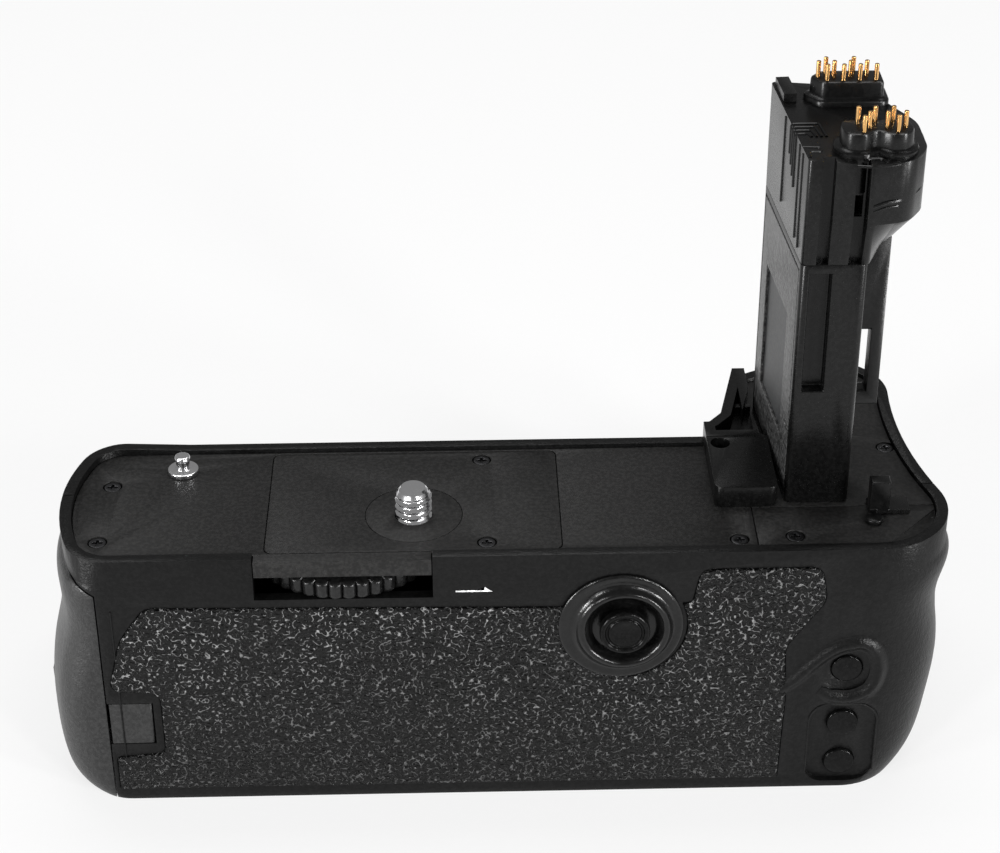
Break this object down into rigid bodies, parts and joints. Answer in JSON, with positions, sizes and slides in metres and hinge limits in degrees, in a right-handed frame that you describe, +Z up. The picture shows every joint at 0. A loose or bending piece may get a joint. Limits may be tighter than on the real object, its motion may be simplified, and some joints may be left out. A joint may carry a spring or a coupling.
{
  "type": "camera battery grip",
  "caption": "Battery grip for a still camera: curved body with joystick, buttons and toothed attachment dial, camera screw, sliding battery magazine and a tall contact tower.",
  "frame": {"origin": "mouth of the tripod socket in the base, on the axis of the camera screw", "axes": "+X towards the tower end, +Y towards the front of the camera, +Z up to the camera"},
  "size_m": [0.1582, 0.0774, 0.1223],
  "materials": {
    "shell": "fine satin grain",
    "plate": "satin",
    "skin": "pebbled",
    "tower": "satin",
    "label": "plain",
    "button": "semi gloss",
    "bright_steel": "bright",
    "black_steel": "black oxide",
    "gold": "plated",
    "board": "solder mask",
    "inner_plastic": "moulded",
    "gear": "machined",
    "aluminium": "satin"
  },
  "bodies": {
    "housing": {"rear_shell": "shell", "front_shell": "shell", "top_plate": "plate", "centre_panel": "plate", "corner_plate": "plate", "grip_plate": "plate", "door_holder": "plate", "hook_post": "plate", "top_screws": "black_steel", "screw_collar": "aluminium", "idler_axle": "bright_steel", "dial_axle": "bright_steel", "gear_bracket": "bright_steel", "guide_pin": "bright_steel", "tower_column": "tower", "tower_side_panel": "tower", "tower_label": "label", "tower_head": "tower", "connector_block_1": "inner_plastic", "connector_block_2": "inner_plastic", "contact_pins_1": "gold", "contact_pins_2": "gold", "tower_board": "board", "joystick_bezel": "tower", "joystick_housing": "inner_plastic", "button_board": "board", "control_board": "board", "main_dial_axle": "bright_steel", "main_board": "board", "battery_bay": "inner_plastic", "bay_contacts": "gold", "flap_pin": "bright_steel", "rear_grip_skin": "skin", "front_grip_skin": "skin", "bottom_plate": "plate", "base_screws": "black_steel", "tripod_bush": "bright_steel"},
    "dial": {"attachment_dial": "tower"},
    "idler": {"idler_gear": "gear"},
    "screw": {"camera_screw": "bright_steel", "screw_gear": "gear", "screw_clip": "bright_steel"},
    "stick_carrier": {"joystick_carrier": "inner_plastic"},
    "stick_ring": {"joystick_ring": "inner_plastic"},
    "stick": {"joystick_cap": "button"},
    "button_1": {"rear_button_1": "button"},
    "button_2": {"rear_button_2": "button"},
    "button_3": {"rear_button_3": "button"},
    "shutter": {"shutter_button": "button"},
    "function": {"function_button": "button"},
    "thumb_wheel": {"main_dial": "tower"},
    "lever": {"power_lever": "tower"},
    "magazine": {"magazine_tray": "inner_plastic", "tray_contacts": "gold", "magazine_cap": "shell", "magazine_screws": "black_steel"},
    "latch": {"release_knob": "tower", "latch_tongue": "bright_steel"},
    "flap": {"cord_flap": "shell"}
  },
  "joints": [
    {"name": "dial_spin", "type": "hinge", "parent": "housing", "child": "dial", "pos_m": [-0.012, 0.0024, 0.0447], "axis": [0, 0, 1], "continuous": true},
    {"name": "idler_spin", "type": "hinge", "parent": "housing", "child": "idler", "pos_m": [-0.00605, 0.00745, 0.04775], "axis": [0, 0, 1], "continuous": true},
    {"name": "screw_spin", "type": "hinge", "parent": "housing", "child": "screw", "pos_m": [0, 0, 0.05], "axis": [0, 0, 1], "continuous": true},
    {"name": "stick_press", "type": "slide", "parent": "housing", "child": "stick_carrier", "axis": [0, 1, 0], "range_m": [0, 0.0004], "stiffness_N_per_m": 800, "springref_m": -0.001},
    {"name": "stick_tilt_up", "type": "hinge", "parent": "stick_carrier", "child": "stick_ring", "pos_m": [0.0355, -0.0095, 0.0364], "axis": [1, 0, 0], "range_deg": [-6, 6], "stiffness_Nm_per_rad": 0.02},
    {"name": "stick_tilt_side", "type": "hinge", "parent": "stick_ring", "child": "stick", "pos_m": [0.0355, -0.0095, 0.0364], "axis": [0, 0, 1], "range_deg": [-6, 6], "stiffness_Nm_per_rad": 0.02},
    {"name": "button_1_press", "type": "slide", "parent": "housing", "child": "button_1", "axis": [0, 1, 0], "range_m": [0, 0.0005], "stiffness_N_per_m": 800, "springref_m": -0.001},
    {"name": "button_2_press", "type": "slide", "parent": "housing", "child": "button_2", "axis": [0, 1, 0], "range_m": [0, 0.0005], "stiffness_N_per_m": 800, "springref_m": -0.001},
    {"name": "button_3_press", "type": "slide", "parent": "housing", "child": "button_3", "axis": [0, 1, 0], "range_m": [0, 0.0005], "stiffness_N_per_m": 800, "springref_m": -0.001},
    {"name": "shutter_press", "type": "slide", "parent": "housing", "child": "shutter", "axis": [-1, 0, 0], "range_m": [0, 0.0005], "stiffness_N_per_m": 800, "springref_m": -0.001},
    {"name": "function_press", "type": "slide", "parent": "housing", "child": "function", "axis": [-1, 0, 0], "range_m": [0, 0.0005], "stiffness_N_per_m": 800, "springref_m": -0.001},
    {"name": "thumb_wheel_spin", "type": "hinge", "parent": "housing", "child": "thumb_wheel", "pos_m": [0.0848, 0.0224, 0.02], "axis": [0, 0, 1], "continuous": true},
    {"name": "lever_turn", "type": "hinge", "parent": "housing", "child": "lever", "pos_m": [0.07, 0.06, 0.014], "axis": [0, 1, 0], "range_deg": [-25, 25]},
    {"name": "magazine_slide", "type": "slide", "parent": "housing", "child": "magazine", "axis": [-1, 0, 0], "range_m": [0, 0.125]},
    {"name": "latch_turn", "type": "hinge", "parent": "magazine", "child": "latch", "pos_m": [-0.056, 0.006, 0.0185], "axis": [1, 0, 0], "range_deg": [0, 90]},
    {"name": "flap_hinge", "type": "hinge", "parent": "housing", "child": "flap", "pos_m": [-0.0465, -0.0131, 0.0169], "axis": [0, 0, 1], "range_deg": [0, 100]}
  ],
  "couplings": [
    {"joint": "idler_spin", "follows": "dial_spin", "ratio": -1.1667},
    {"joint": "screw_spin", "follows": "dial_spin", "ratio": 0.7}
  ]
}
